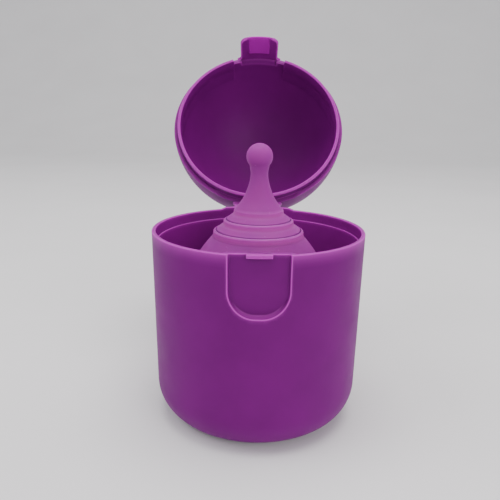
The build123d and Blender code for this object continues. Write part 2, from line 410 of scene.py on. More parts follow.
def case_section():
    """Half-section of the case: up the outside, over the rim and its ledge, and down inside to the floor."""
    ledge_round = 0.2
    return rounded_path(
        [
            (0, 0, 0),
            (FOOT_RADIUS, 0, FOOT_ROUND),
            (RIM_RADIUS, RIM_HEIGHT, EDGE),
            (RIM_RADIUS - LIP, RIM_HEIGHT, EDGE),
            (RIM_RADIUS - LIP, RIM_HEIGHT - LEDGE_DEPTH, ledge_round),
            (side_radius(RIM_HEIGHT - LEDGE_DEPTH) - WALL, RIM_HEIGHT - LEDGE_DEPTH, ledge_round),
            (side_radius(FLOOR) - WALL, FLOOR, FOOT_ROUND - WALL),
            (0, FLOOR, 0),
        ],
        1.1,
    )


def case_grid(path, along, rim_start):
    """The section carried round the axis, with the recess, its backing and the hinge land shaped in."""
    rim_end = int(np.flatnonzero(path[:, 1] >= RIM_HEIGHT - TINY)[-1])
    r = np.repeat(path[:, :1], len(along), axis=1)
    z = np.repeat(path[:, 1:], len(along), axis=1)
    across = np.repeat(along[None, :], len(path), axis=0)
    row = np.arange(len(path))[:, None]
    # 0 on the outer wall, 1 on the inner wall, and between them over the rim
    inward = np.clip((RIM_RADIUS - EDGE - r) / (LIP - 2 * EDGE), 0, 1)
    inward = np.where(row < rim_start, 0, np.where(row > rim_end, 1, inward))
    outer_shift = side_radius(np.minimum(z, RIM_HEIGHT)) - recessed(across, z)
    inner_shift = backing(across, r, np.minimum(z, RIM_HEIGHT))
    lip_backing = backing(across, np.full_like(r, RIM_RADIUS - LIP), np.full_like(r, RIM_HEIGHT))
    inner_shift = np.where((row >= rim_start) & (row <= rim_end), lip_backing, inner_shift)
    new_r = r - (1 - inward) * outer_shift - inward * inner_shift
    raised = smooth((z - (RIM_HEIGHT - 2 * EDGE)) / EDGE)
    return on_wall(across, new_r, z + LAND_HEIGHT * hinge_land(across) * raised)


def mesh_recess(surface, cols, heights):
    """Meshes a window of the outer wall by loops along the recess's outline, and fills in beside them."""
    loops = [recess_outline(d, heights[-1], heights) for d in RECESS_LOOPS]

    def on_outer(flat):
        flat = np.asarray(flat, float)
        return on_wall(flat[..., 0], recessed(flat[..., 0], flat[..., 1]), flat[..., 1])

    def off_loops(c, h, room=0.0):
        distance = float(recess_distance(c, h))
        return distance > RECESS_LOOPS[0] + room or distance < RECESS_LOOPS[-1] - room

    surface.grid(on_outer(np.array(loops)))
    inner = [(c, h) for c in cols[1:-1] for h in heights[1:-1] if off_loops(c, h, 0.35)]
    flat, kept = fill([border_of(cols, heights), loops[0], loops[-1]], inner, off_loops)
    surface.add(on_outer(flat), kept)


def make_case():
    path = case_section()
    rim_start = int(np.flatnonzero(path[:, 1] >= RIM_HEIGHT - 1.1 * EDGE)[0])
    along = columns([side * (RECESS_ALONG + d) for d in RECESS_LOOPS for side in (-1, 1)])
    # A window round the recess is left out of the grid and meshed to the recess's own outline
    margin = 4
    rows = np.flatnonzero((path[:, 1] > RECESS_FOOT - margin) & (np.arange(len(path)) <= rim_start))
    cols = np.flatnonzero(np.abs(along) < RECESS_ALONG + margin)

    def off_window(i, j):
        return not (rows[0] <= i < rows[-1] and cols[0] <= j < cols[-1])

    surface = Surface()
    surface.grid(case_grid(path, along, rim_start), closed=True, keep=off_window)
    mesh_recess(surface, along[cols], path[rows, 1])
    return surface.build("case_shell")


def make_nub():
    """Catch nub at the top of the recess, level with the rim."""
    inner, outer = RECESS_FLOOR - RECESS_WALL / 2, NUB_FRONT
    low, high = RIM_HEIGHT - NUB_HEIGHT, RIM_HEIGHT
    under_round, top_round, ends = 0.26, 0.16, 0.14
    corners = [(inner, low, 0), (outer, low, under_round), (outer, high, top_round), (inner, high, 0)]
    section = rounded_path(corners, 0.3, 4)
    along = np.linspace(-NUB_HALF, NUB_HALF, 15)
    surface = Surface()
    section = np.concatenate([section, [[inner, (low + high) / 2]]])
    body = np.array([on_wall(along, np.full(len(along), r), z) for r, z in section])
    surface.grid(np.concatenate([body, body[:1]]))
    # Rounded ends: each ring of the end cap is the section drawn in towards its middle
    middle = section.mean(axis=0)
    for side in (-1, 1):
        rings = []
        for bend in np.radians(np.linspace(0, 90, 5)):
            shrink = 1 - ends * (1 - cos(bend)) / (NUB_FRONT - RECESS_FLOOR)
            ring = middle + (section - middle) * shrink
            reach = side * (NUB_HALF + ends * sin(bend)) * np.ones(len(ring))
            rings.append(on_wall(reach, ring[:, 0], ring[:, 1]))
        surface.grid(np.array(rings), closed=True)
        cap = rings[-1]
        surface.add(cap, [list(range(len(cap)))])
    return surface.build("catch_nub")


# ---- Lid, worked out shut with its seat at height 0, then turned open about the hinge ----

def opened():
    """Turns the shut lid, whose seat is at height 0, to its open place; in metres."""
    hinge = Vector((0, HINGE_Y * MM, HINGE_Z * MM))
    lift = Matrix.Translation((0, 0, (RIM_HEIGHT + SEAT_GAP) * MM))
    turn = Matrix.Rotation(-OPEN_ANGLE, 4, "X")
    return Matrix.Translation(hinge) @ turn @ Matrix.Translation(-hinge) @ lift


def corner_rise(gap, depth):
    """Height that a rounded edge adds at a distance gap inside the edge."""
    round_ = min(EDGE, depth) if np.isscalar(depth) else np.minimum(EDGE, depth)
    inside = np.clip(round_ - gap, 0, round_)
    return round_ - np.sqrt(np.maximum(round_**2 - inside**2, 0))


def bare_wall(z):
    """Inner radius of the lid's wall where there is no spigot."""
    inner = RIM_RADIUS - WALL
    return np.sqrt(inner**2 - np.clip(z - SKIRT, 0, inner) ** 2)


def lid_section():
    """Half-section of the lid: down the outside of the dome, round the spigot, and up the inside.

    Also returns the row where the rim starts and the row where the inside starts.
    """
    outer, inner = RIM_RADIUS, RIM_RADIUS - WALL
    join = radians(13)
    draft, lip_round, root_round = 0.25, 0.5, 0.12
    dome_out = [(outer * sin(a), SKIRT + outer * cos(a)) for a in np.linspace(0, pi / 2, 62)]
    dome_in = [(inner * cos(a), SKIRT + inner * sin(a)) for a in np.linspace(join, pi / 2, 60)]
    rim = rounded_path(
        [
            (outer, SKIRT, 0),
            (outer, 0, EDGE),
            (SPIGOT_RADIUS, 0, root_round),
            (SPIGOT_RADIUS, -SPIGOT_DEPTH, lip_round),
            (SPIGOT_INNER + draft, -SPIGOT_DEPTH, lip_round),
            (SPIGOT_INNER, -SPIGOT_DEPTH / 4, 0),
        ],
        0.35,
        7,
    )
    # The inside opens out in a soft curve from the spigot to the dome
    low, high = rim[-1], np.array(dome_in[0])
    flare = curve([low, low + (0.1, 1.7), low + (0.45, 3.8), high - (-0.06, 3.0), high], 0.5)
    path = np.concatenate([dome_out[:-1], rim, flare[1:], dome_in[1:]])
    rim_start = len(dome_out) - 1
    return path, rim_start, rim_start + len(rim) - 1


# Places round the lid, counted along its wall from the front
SPIGOT_END = RIM_RADIUS * asin(SPIGOT_GAP_HALF / SPIGOT_INNER)
TAB_SIDE = RIM_RADIUS * asin(TAB_HALF / RIM_RADIUS)
LAND_SIDE = pi * RIM_RADIUS - RIM_RADIUS * asin((LAND_HALF + SEAT_GAP) / RIM_RADIUS)
SPIGOT_END_ROUND = 0.3


def lid_columns():
    """Columns round the lid, closer together at the spigot's rounded ends and at the tab's sides."""
    bend = np.radians(np.linspace(0, 90, 6))
    ends = np.concatenate([[-0.02, 0], SPIGOT_END_ROUND * (1 - np.cos(bend))[1:]])
    extra = [side * (SPIGOT_END + d) for d in ends for side in (-1, 1)]
    extra += [side * (TAB_SIDE + d) for d in np.linspace(-0.4, 0.1, 5) for side in (-1, 1)]
    return columns(extra)


def spigot_depth(across, in_gap):
    """How far the spigot reaches below the seat: not at all in the gap, and less at its rounded ends."""
    bend = SPIGOT_END_ROUND - np.clip(np.abs(across) - SPIGOT_END, 0, SPIGOT_END_ROUND)
    rounded = np.sqrt(np.maximum(SPIGOT_END_ROUND**2 - bend**2, 0))
    return np.where(in_gap, 0, SPIGOT_DEPTH - SPIGOT_END_ROUND + rounded)


def gap_wall(across, r, z, on_outer_spigot, near_seat):
    """Radius of the bare wall in the gap, scooped out above the tab, whose face runs on into it."""
    bare = RIM_RADIUS - WALL
    spread = (r - SPIGOT_INNER) / (SPIGOT_RADIUS - SPIGOT_INNER)
    drawn_out = bare + spread * (SPIGOT_RADIUS - bare)
    wall = np.where(on_outer_spigot, drawn_out, np.maximum(r, bare_wall(z)))
    short, side_fade = 0.15, 0.4
    in_scoop = smooth((TAB_SIDE - short - np.abs(across)) / side_fade + 0.5)
    scoop = in_scoop * (TAB_INNER - 0.03 - bare) * (1 - smooth(np.maximum(z, 0) / SCOOP_HEIGHT))
    return np.where(near_seat, np.maximum(wall, bare + scoop), wall)


def make_lid():
    path, rim_start, inner_start = lid_section()
    along = lid_columns()
    r = np.repeat(path[:, :1], len(along), axis=1)
    z = np.repeat(path[:, 1:], len(along), axis=1)
    across = np.repeat(along[None, :], len(path), axis=0)
    row = np.arange(len(path))[:, None]
    past_dome, on_inside = row > rim_start, row > inner_start

    in_gap = np.abs(across) - SPIGOT_END < -0.01
    on_spigot = (r <= SPIGOT_RADIUS + TINY) & (z < 0.4) & (r > SPIGOT_INNER - TINY)
    near_seat = (z < SCOOP_HEIGHT) & (on_inside | (z <= TINY)) & past_dome
    gap_r = gap_wall(across, r, z, on_spigot & ~on_inside, near_seat)
    new_r = np.where(in_gap & (on_inside | (r <= TAB_INNER)) & past_dome, gap_r, r)

    depth = spigot_depth(across, in_gap)
    gap_rise = corner_rise(gap_r - (RIM_RADIUS - WALL), 0.18)
    lowest = -depth + np.where(in_gap, gap_rise, corner_rise(r - SPIGOT_INNER, EDGE))
    lowest += np.where(depth > 0.01, corner_rise(SPIGOT_RADIUS - r, EDGE), 0)
    new_z = np.where(on_spigot, np.maximum(z, lowest), z)

    # Relief over the hinge land, fading out to either side
    relief = RELIEF_HEIGHT * smooth((np.abs(across) - LAND_SIDE + RELIEF_FADE) / RELIEF_FADE)
    on_seat = (r > SPIGOT_RADIUS - TINY) & (z > -TINY)
    new_z = new_z + np.where(on_seat, relief * (1 - smooth(z / SKIRT)), 0)

    surface = Surface()
    surface.grid(on_wall(across, new_r, new_z), closed=True)
    return surface.build("lid_dome", opened())


def tab_half_width(z):
    """Half the width of the latch tab: it flares where it meets the lid's edge and tapers up the pad."""
    flare = 1.2
    below = np.clip((z + TAB_ROOT) / TAB_ROOT, 0, 1)
    root = flare * (1 - np.sqrt(np.maximum(1 - below**2, 0)))
    pad = flare * (1 - smooth(z / PAD_HEIGHT))
    return TAB_HALF + np.where(z > 0, pad, root)


def tab_outline(inset, stops):
    """Closed outline of the tab and its pad, set in from the edge; stops are extra points along its foot."""
    top, foot = PAD_HEIGHT - inset, -TAB_LENGTH + inset
    round_top, round_foot = PAD_ROUND - inset * 0.9, TAB_ROUND - inset * 0.9
    turn = np.radians(np.linspace(0, 90, 9))
    half_top, half_foot = tab_half_width(PAD_HEIGHT) - inset, TAB_HALF - inset
    flat_top, flat_foot = half_top - round_top, half_foot - round_foot
    right = [(flat_top + round_top * sin(a), top - round_top + round_top * cos(a)) for a in turn]
    above, below = np.linspace(PAD_HEIGHT - PAD_ROUND, 0, 7)[1:], np.linspace(0, -TAB_ROOT, 12)[1:]
    flared = np.concatenate([above, below])
    right += [(float(tab_half_width(h)) - inset, h) for h in flared]
    right += [(half_foot, h) for h in np.linspace(-TAB_ROOT, -TAB_LENGTH + TAB_ROUND, 14)[1:-1]]
    right += [(flat_foot + round_foot * cos(a), foot + round_foot - round_foot * sin(a)) for a in turn]
    top_run = [(x, top) for x in np.linspace(-flat_top, flat_top, 13)[1:-1]]
    foot_half = TAB_HALF - TAB_ROUND
    foot_stops = np.unique(np.concatenate([np.linspace(-foot_half, foot_half, 15)[1:-1], stops]))
    foot_run = [(x * flat_foot / foot_half, foot) for x in foot_stops[::-1]]
    left = [(-x, h) for x, h in right[::-1]]
    return np.array(top_run + right + foot_run + left)


def catch(along, z):
    """How far the catch stands in from the tab's inner face: a crest, then a ramp out into the tip."""
    soft = 0.3
    sides = smooth((WEDGE_HALF - np.abs(along)) / soft + 0.5)
    top = smooth((-WEDGE_TOP - z) / soft + 0.5)
    tip = TAB_OUTER - TAB_INNER - TIP_THICKNESS
    ramp = WEDGE_RISE - (WEDGE_RISE + tip) * (-WEDGE_TOP - z) / (TAB_LENGTH - WEDGE_TOP)
    return sides * top * ramp


def make_tab():
    round_ = 0.42
    bends = np.radians(np.linspace(0, 90, 7))
    outer = [(round_ * (1 - cos(a)), TAB_OUTER - round_ * (1 - sin(a))) for a in bends]
    inner = [(round_ * (1 - cos(a)), TAB_INNER + round_ * (1 - sin(a))) for a in bends]

    def skin(flat, radius):
        """Points of the slab, whose thickness is squeezed or swollen by the catch."""
        swell = 1 + catch(flat[:, 0], flat[:, 1]) / (TAB_OUTER - TAB_INNER)
        return on_wall(flat[:, 0], TAB_OUTER - (TAB_OUTER - radius) * swell, flat[:, 1])

    soft, reach, room = 0.15, 7.5, 0.12
    stops = np.array([side * (WEDGE_HALF + d) for d in np.linspace(-soft, soft, 5) for side in (-1, 1)])
    surface = Surface()
    surface.grid(np.array([skin(tab_outline(i, stops), r) for i, r in outer[::-1] + inner]), closed=True)
    outline = tab_outline(round_, stops)
    xs = np.unique(np.concatenate([np.linspace(-reach, reach, 31), stops]))
    zs = np.linspace(PAD_HEIGHT, -TAB_LENGTH, 40)
    zs = np.unique(np.concatenate([zs, -WEDGE_TOP + np.linspace(-soft, soft, 5)]))
    refine = [(x, h) for x in xs for h in zs if within(outline, x, h) and off_line(outline, x, h) > room]
    border = np.concatenate([outline, outline[:1]])
    flat, kept = fill([border], refine, lambda x, h: within(outline, x, h))
    surface.add(skin(flat, TAB_OUTER), kept)
    surface.add(skin(flat, TAB_INNER), kept)
    return surface.build("latch_tab_plate", opened())


# ---- Hinge strap, in its open place ----

def strap_lines():
    """Side view of the strap: matching points along its top and its underside, from the case to the lid."""
    land_top = RIM_HEIGHT + LAND_HEIGHT
    seat = opened() @ Vector((0, (RIM_RADIUS - 0.7) * MM, 0.5 * MM)) / MM
    edge_low = opened() @ Vector((0, (RIM_RADIUS - 0.3) * MM, 2.0 * MM)) / MM
    top = curve(
        [
            (RIM_RADIUS - 1.0, land_top - 0.02),
            (RIM_RADIUS + 0.3, land_top - 0.02),
            (HINGE_Y - 0.2, land_top - 0.06),
            (HINGE_Y + 0.8, land_top + 0.16),
            (seat[1] - 0.35, seat[2] - 0.42),
            (seat[1] + 0.1, seat[2] + 0.25),
        ],
        0.16,
    )
    under = curve(
        [
            (edge_low[1] + 0.3, edge_low[2] - 0.1),
            (HINGE_Y + 1.6, HINGE_Z - 0.02),
            (HINGE_Y, HINGE_Z - 0.12),
            (RIM_RADIUS + 0.3, HINGE_Z - 0.32),
            (RIM_RADIUS - 0.5, HINGE_Z - 0.75),
        ],
        0.16,
    )
    count = min(len(top), len(under))
    top, under = (line[np.round(np.linspace(0, len(line) - 1, count)).astype(int)] for line in (top, under))
    return top, under[::-1]


def make_strap():
    """Web that joins the case's land to the lid, rounded along its sides and widening towards both."""
    top, under = strap_lines()
    middle = (top + under) / 2
    half, half_thick, round_, widening = (web_high[0] - web_low[0]) / 2, 0.42, 0.34, 0.7
    turn = np.radians(np.linspace(0, 90, 6))
    ends = [(half - round_ + round_ * sin(a), cos(a)) for a in turn[1:]]
    flank = [(x, 1) for x in np.linspace(-(half - round_), half - round_, 33)]
    side = [(-x, c) for x, c in ends[::-1]] + flank + ends
    near_ends = np.abs(np.linspace(-1, 1, len(middle))) ** 6
    lines = []
    for x, c, face in [(x, c, top) for x, c in side] + [(x, c, under) for x, c in side[::-1]]:
        points = middle + (face - middle) * (1 - round_ * (1 - c) / half_thick)
        widened = x + np.sign(x) * widening * near_ends * (abs(x) / half) ** 8
        lines.append(np.stack([widened, points[:, 0], points[:, 1]], axis=1))
    surface = Surface()
    surface.grid(np.array(lines).transpose(1, 0, 2), closed=True)
    for end in (0, -1):
        surface.add([line[end] for line in lines], [list(range(len(lines)))])
    return surface.build("hinge_strap")


# ---- Silicone cup ----

def ring_corners():
    """Corners of the grip rings, down the outside, each with its rounding."""
    corners = []
    for step in range(STEPS):
        radius = STEP_RADIUS + STEP_OUT * step
        height = STEP_HEIGHT - STEP_DOWN * step
        if step:
            # A fine crease just inside the ring's edge
            corners += [(radius - 1.0, height + 0.24, 0.06), (radius - CREASE_IN, height - 0.32, 0.06)]
            corners += [(radius - 0.55, height, 0.1)]
        corners += [(radius - 0.04, height - 0.32, 0.4), (radius + 0.1, height - STEP_SIDE, 0.8)]
    return corners


def cup_path():
    """Half-section of the cup, from the ball on its stem down the outside and up inside to the roof."""
    ball = CUP_TOP - BALL_RADIUS
    turns = np.linspace(0, radians(BALL_JOIN), 44)
    head_arc = [(BALL_RADIUS * sin(a), ball + BALL_RADIUS * cos(a)) for a in turns]
    ring_top = (STEP_RADIUS - 0.62, STEP_HEIGHT + 0.22)
    stem = curve([head_arc[-1], NECK, STEM, FLARE, ring_top], 0.3)
    ring_foot = STEP_HEIGHT - STEP_DOWN * (STEPS - 1) - STEP_SIDE
    bell_top = (STEP_RADIUS + STEP_OUT * (STEPS - 1) + 0.3, ring_foot - 0.55)
    bell = curve([bell_top, BELL_SHOULDER, BELL_WAIST, (CUP_MOUTH, BELL_SIDE)], 0.7)
    above, below = [(*stem[-2], 0), (*stem[-1], 0.3)], [(*bell[0], 0.3), (*bell[1], 0)]
    rings = rounded_path(above + ring_corners() + below, 0.2, 5)
    lip_round = 0.75
    mouth = rounded_path(
        [
            (CUP_MOUTH, BELL_SIDE, 0),
            (CUP_MOUTH, CUP_BASE, lip_round),
            (CUP_MOUTH - CUP_WALL, CUP_BASE, lip_round),
            (CUP_MOUTH - CUP_WALL, BELL_SIDE, 0),
        ],
        0.6,
        7,
    )
    hollow = curve([(CUP_MOUTH - CUP_WALL, BELL_SIDE)] + HOLLOW, 0.8)
    path = np.concatenate([head_arc[:-1], stem[:-2], rings[:-1], bell[1:-1], mouth, hollow[1:]])
    path[0, 0] = path[-1, 0] = 0
    return path


def air_hole(surface, cols, rows_out, rows_in, turn):
    """One air hole: both faces of the wall are meshed round it, and joined through with rounded edges."""
    around = np.linspace(0, 2 * pi, 29)
    soften = 0.16
    bends = np.radians(np.linspace(0, 90, 5))
    middle = cols.mean()

    def circle(size, wall):
        x, z = size * np.cos(around), AIR_HOLE_HEIGHT + size * np.sin(around)
        return RIM_RADIUS * np.arcsin(x / wall), wall, z

    rings = []
    for radius, heights, inwards in ((CUP_MOUTH, rows_out, -1), (CUP_MOUTH - CUP_WALL, rows_in, 1)):
        edge = [
            circle(AIR_HOLE_RADIUS + soften * (1 - sin(a)), radius + inwards * (soften * (1 - cos(a))))
            for a in bends
        ]
        hole = np.stack([edge[0][0] + middle, edge[0][2]], axis=1)
        flat, kept = fill([border_of(cols, heights), hole], [], lambda x, z: not within(hole[:-1], x, z))
        surface.add(on_wall(flat[:, 0] + turn, np.full(len(flat), radius), flat[:, 1]), kept)
        rings.append([on_wall(x + middle + turn, np.full(len(x), wall), z) for x, wall, z in edge])
    surface.grid(np.array(rings[0] + rings[1][::-1]))


def make_cup():
    path = cup_path()
    quarter = pi / 2 * RIM_RADIUS
    turn = quarter / 2  # keeps the mesh's seam away from the holes, which face the four sides
    window, window_height = 2.4, 1.9  # half the width and height of the patch meshed round a hole
    holes = [quarter * (k - 1.5) for k in range(4)]
    along = columns([h + side * window for h in holes for side in (-1, 1)])
    radius, height = path[:, 0], path[:, 1]
    rows = np.flatnonzero(np.abs(height - AIR_HOLE_HEIGHT) < window_height)
    outside = rows[radius[rows] > CUP_MOUTH - CUP_WALL / 2]
    inside = rows[radius[rows] < CUP_MOUTH - CUP_WALL / 2]

    def keep(i, j):
        in_rows = outside[0] <= i < outside[-1] or inside[0] <= i < inside[-1]
        middle = along[j] + 0.01
        return not (in_rows and any(abs(middle - h) < window for h in holes))

    surface = Surface()
    grid = on_wall(
        np.repeat(along[None, :] + turn, len(path), axis=0),
        np.repeat(radius[:, None], len(along), axis=1),
        height[:, None],
    )
    surface.grid(grid, closed=True, keep=keep)
    for h in holes:
        near = along[np.abs(along - h) < window + TINY]
        air_hole(surface, near, height[outside], height[inside], turn)
    return surface.build("ringed_cup")


# ---- Materials ----

def convexity(obj):
    """Marks outward rounds for a painted highlight, as light catches them and shows through the thin
    moulding: 1 on tight ones, 0 on flat walls.
    """
    mesh = bmesh.new()
    mesh.from_mesh(obj.data)
    mesh.verts.ensure_lookup_table()
    marks = np.zeros(len(mesh.verts))
    for edge in mesh.edges:
        if len(edge.link_faces) != 2:
            continue
        first, second = edge.link_faces
        apart = (first.calc_center_median() - second.calc_center_median()).length / MM
        bend = edge.calc_face_angle_signed(0) / max(apart, 0.02)
        for vert in edge.verts:
            marks[vert.index] = max(marks[vert.index], bend)
    marks = np.clip(marks / 2.4, 0, 1)
    links = np.array([[v.index for v in edge.verts] for edge in mesh.edges])
    mesh.free()
    count = np.maximum(np.bincount(links.ravel(), minlength=len(marks)), 1)
    for _ in range(2):
        around = np.bincount(links[:, 0], marks[links[:, 1]], len(marks))
        around += np.bincount(links[:, 1], marks[links[:, 0]], len(marks))
        marks = 0.5 * marks + 0.5 * around / count
    return marks


def shut_points(obj):
    """Vertex positions of a piece built open with the lid, in millimetres, as they are with the lid shut."""
    shut = opened().inverted()
    return np.array([shut @ v.co for v in obj.data.vertices]) / MM


def off_catch(obj, marks):
    """Takes the painted edge highlight off the latch's catch, which is thick there and shows no paler line.
    """
    points = shut_points(obj)
    beside = smooth((np.abs(points[:, 0]) - WEDGE_HALF - 0.4) / 0.5)
    near_inside = smooth((TAB_OUTER - 0.35 - np.hypot(points[:, 0], points[:, 1])) / 0.3)
    return marks * (1 - (1 - beside) * near_inside)


def case_marks(obj, marks):
    """Adds a soft painted glow below the rim's outer edge, and a painted highlight along the thumb recess's
    lower side.
    """
    points = vertices_mm(obj)
    r, z = np.hypot(points[:, 0], points[:, 1]), points[:, 2]
    rim_pale, rim_fade, ledge_pale, ledge_width = 0.7, 1.8, 0.55, 0.62
    outside = smooth((r - RIM_RADIUS + 1.0) / 0.5)
    glow = rim_pale * outside * np.exp((z - RIM_HEIGHT) / rim_fade)
    along = RIM_RADIUS * np.arctan2(points[:, 0], -points[:, 1])
    inwards = -recess_distance(along, z)
    low = smooth((RECESS_FOOT + 0.8 * RECESS_ROUND - z) / (0.8 * RECESS_ROUND))
    band = smooth(inwards / 0.1 + 0.5) * smooth((ledge_width - inwards) / 0.2 + 0.5)
    ledge = ledge_pale * low * band * (r > RECESS_FLOOR - 0.1)
    return np.maximum(np.maximum(marks, glow), ledge)


def lid_marks(obj, marks):
    """Evens out the lid's painted edge highlight: a faint painted highlight on the seat up to its outer edge,
    and a softer one on the inner edge.
    """
    points = shut_points(obj)
    r = np.hypot(points[:, 0], points[:, 1])
    marks = np.where(r > SPIGOT_RADIUS + 0.2, 0.3 * marks, marks)
    marks = np.where(r < SPIGOT_INNER + 0.3, 0.5 * marks, marks)
    seat = smooth((r - SPIGOT_RADIUS - 0.05) / 0.2) * smooth((1.2 - points[:, 2]) / 1.0)
    return np.maximum(marks, 0.42 * seat)


def lit_through(obj, middle, share):
    """Marks inner faces, which light through the wall makes a little brighter."""
    points = obj.data.vertices
    normals = np.array([v.normal for v in points])
    towards = np.array([v.co for v in points]) - middle
    away = np.maximum(np.linalg.norm(towards, axis=1), TINY)
    facing_in = -np.einsum("ij,ij->i", normals, towards) / away
    paint(obj, "thin", share * smooth(facing_in * 2))


def ring_colours(obj):
    """Marks painted light on the grip rings' sides, which makes them warmer and lighter, and painted shade in
    the creases, which makes them darker.
    """
    points = vertices_mm(obj)
    r = np.hypot(points[:, 0], points[:, 1])
    ring_side_light, crease = np.zeros(len(points)), np.zeros(len(points))
    for step in range(STEPS):
        across = r - (STEP_RADIUS + STEP_OUT * step)
        down = points[:, 2] - (STEP_HEIGHT - STEP_DOWN * step)
        # Painted light on each ring's side
        ring_side_light = np.maximum(ring_side_light, np.exp(-((across / 0.7) ** 2) - ((down + 1.1) / 0.75) ** 2))
        if step:
            # Painted shade in the crease just inside the ring's edge
            near = ((across + CREASE_IN) / 0.16) ** 2 + ((down + 0.1) / 0.3) ** 2
            crease = np.maximum(crease, np.exp(-near))
    paint(obj, "ring_side_light", ring_side_light)
    paint(obj, "crease", crease)


def thin_plate(obj):
    """Marks the latch's plate, most of all its ramp, where light comes through the thin plastic."""
    points = shut_points(obj)
    sides = smooth((WEDGE_HALF - np.abs(points[:, 0])) / 0.4 + 0.5)
    ramp = sides * smooth((-WEDGE_TOP - points[:, 2]) / 0.5 + 0.5)
    inside = smooth((TAB_OUTER - 0.2 - np.hypot(points[:, 0], points[:, 1])) / 0.3)
    paint(obj, "thin", inside * (0.22 + 0.5 * ramp))


class Shader:
    """A material's node tree, with short calls for the nodes used here."""

    def __init__(self, name):
        self.material = bpy.data.materials.new(name)
        self.material.use_nodes = True
        self.tree = self.material.node_tree
        self.surface = next(n for n in self.tree.nodes if n.type == "BSDF_PRINCIPLED")
        self.place = self.tree.nodes.new("ShaderNodeTexCoord").outputs["Object"]

    def join(self, source, target):
        self.tree.links.new(source, target)

    def node(self, kind, inputs, **settings):
        node = self.tree.nodes.new(kind)
        for key, value in settings.items():
            setattr(node, key, value)
        for key, value in inputs.items():
            if isinstance(value, bpy.types.NodeSocket):
                self.join(value, node.inputs[key])
            else:
                node.inputs[key].default_value = value
        return node

    def noise(self, size, detail=3.0, roughness=0.5):
        """Noise whose features are about size metres across."""
        inputs = {"Vector": self.place, "Scale": 1 / size, "Detail": detail, "Roughness": roughness}
        return self.node("ShaderNodeTexNoise", inputs).outputs["Fac"]

    def remap(self, value, low, high, to_low, to_high):
        inputs = {"Value": value, "From Min": low, "From Max": high, "To Min": to_low, "To Max": to_high}
        return self.node("ShaderNodeMapRange", inputs).outputs["Result"]

    def mix(self, share, first, second):
        node = self.tree.nodes.new("ShaderNodeMix")
        node.data_type = "RGBA"
        colours = [socket for socket in node.inputs if socket.type == "RGBA"]
        for socket, value in ((node.inputs[0], share), (colours[0], first), (colours[1], second)):
            if isinstance(value, bpy.types.NodeSocket):
                self.join(value, socket)
            else:
                socket.default_value = value
        return next(socket for socket in node.outputs if socket.type == "RGBA")

    def shade_corners(self, colour, deep, reach, strength):
        """Deepens a colour in inner corners and grooves within reach, where little light gets out again."""
        inputs = {"Distance": reach}
        open_share = self.node("ShaderNodeAmbientOcclusion", inputs, samples=12).outputs["AO"]
        return self.mix(self.remap(open_share, 0.2, 0.95, strength, 0), colour, deep)

    def mark(self, name):
        """A mark painted on the piece, from 0 to 1."""
        return self.node("ShaderNodeAttribute", {}, attribute_name=name).outputs["Fac"]

    def bump(self, height, strength, distance, normal=None):
        inputs = {"Height": height, "Strength": strength, "Distance": distance}
        if normal is not None:
            inputs["Normal"] = normal
        return self.node("ShaderNodeBump", inputs).outputs["Normal"]


def case_plastic():
    """Satin polypropylene: even purple with faint clouding and a fine moulded grain; rounded edges and thin
    parts carry a painted highlight, inner walls and the latch's plate painted light, and corners painted
    shade.
    """
    shader = Shader("visual_case_plastic")
    deep, full, pale = (0.130, 0.0003, 0.134, 1), (0.153, 0.0006, 0.156, 1), (0.48, 0.05, 0.45, 1)
    corner, lit = (0.05, 0.0002, 0.055, 1), (0.42, 0.001, 0.40, 1)
    clouds = shader.remap(shader.noise(0.014, 4), 0.3, 0.7, 0, 1)
    colour = shader.mix(clouds, deep, full)
    # Painted highlight on rounded edges and on the other pale marks
    colour = shader.mix(shader.remap(shader.mark("edge"), 0.1, 0.9, 0, 0.8), colour, pale)
    colour = shader.shade_corners(colour, corner, 0.0018, 0.55)
    # Painted light on inner walls and the latch's plate
    shader.join(shader.mix(shader.mark("thin"), colour, lit), shader.surface.inputs["Base Color"])
    handled = shader.noise(0.006, 5, 0.6)
    shader.join(shader.remap(handled, 0.3, 0.7, 0.44, 0.54), shader.surface.inputs["Roughness"])
    ripple = shader.bump(shader.noise(0.009, 2), 0.25, 0.00006)
    grain = shader.bump(shader.noise(0.00022, 2), 0.22, 0.000012, ripple)
    shader.join(grain, shader.surface.inputs["Normal"])
    shader.surface.inputs["IOR"].default_value = 1.49
    shader.surface.inputs["Specular IOR Level"].default_value = 0.1
    shader.surface.inputs["Subsurface Weight"].default_value = 0.6
    shader.surface.inputs["Subsurface Radius"].default_value = (1.0, 0.12, 1.0)
    shader.surface.inputs["Subsurface Scale"].default_value = 0.0022
    return shader.material


